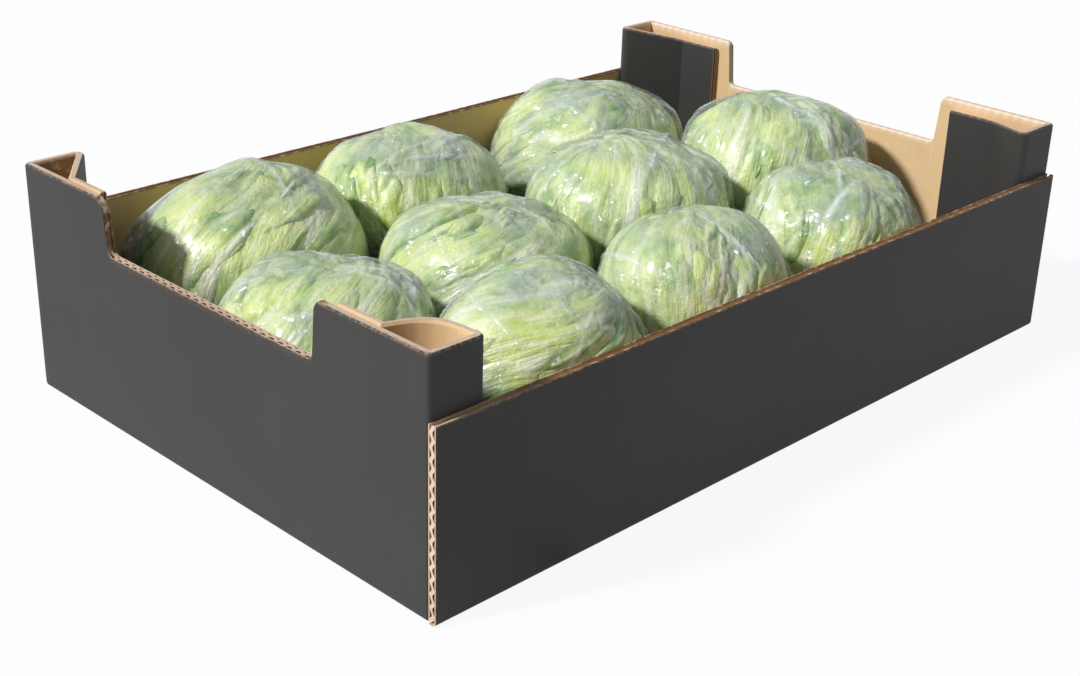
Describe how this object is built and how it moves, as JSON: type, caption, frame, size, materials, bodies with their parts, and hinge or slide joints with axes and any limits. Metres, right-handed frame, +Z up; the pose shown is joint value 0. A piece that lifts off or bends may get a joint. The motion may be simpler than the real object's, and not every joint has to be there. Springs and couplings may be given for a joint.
{
  "type": "lettuce box",
  "caption": "Open corrugated tray with hollow corner posts and end cut-outs, packed with film-wrapped iceberg lettuce heads for shipping and display.",
  "frame": {"origin": "middle of the tray's underside", "axes": "+X along the long sides, +Y to the far long side, +Z up"},
  "size_m": [0.6, 0.4, 0.157],
  "materials": {
    "tray_board": "kraft corrugated board, printed matt charcoal on the outside and bare brown on the inside and raw edges",
    "lettuce_leaf": "crisp pale green leaves with whitish ribs and darker folds",
    "wrap_film": "thin clear film, slightly milky, with creases that catch the light"
  },
  "bodies": {
    "root": {"tray": "tray_board", "lettuce_1": "lettuce_leaf", "lettuce_2": "lettuce_leaf", "lettuce_3": "lettuce_leaf", "lettuce_4": "lettuce_leaf", "lettuce_5": "lettuce_leaf", "lettuce_6": "lettuce_leaf", "lettuce_7": "lettuce_leaf", "lettuce_8": "lettuce_leaf", "lettuce_9": "lettuce_leaf", "lettuce_10": "lettuce_leaf", "film_wrap_1": "wrap_film", "film_wrap_2": "wrap_film", "film_wrap_3": "wrap_film", "film_wrap_4": "wrap_film", "film_wrap_5": "wrap_film", "film_wrap_6": "wrap_film", "film_wrap_7": "wrap_film", "film_wrap_8": "wrap_film", "film_wrap_9": "wrap_film", "film_wrap_10": "wrap_film"}
  },
  "joints": []
}
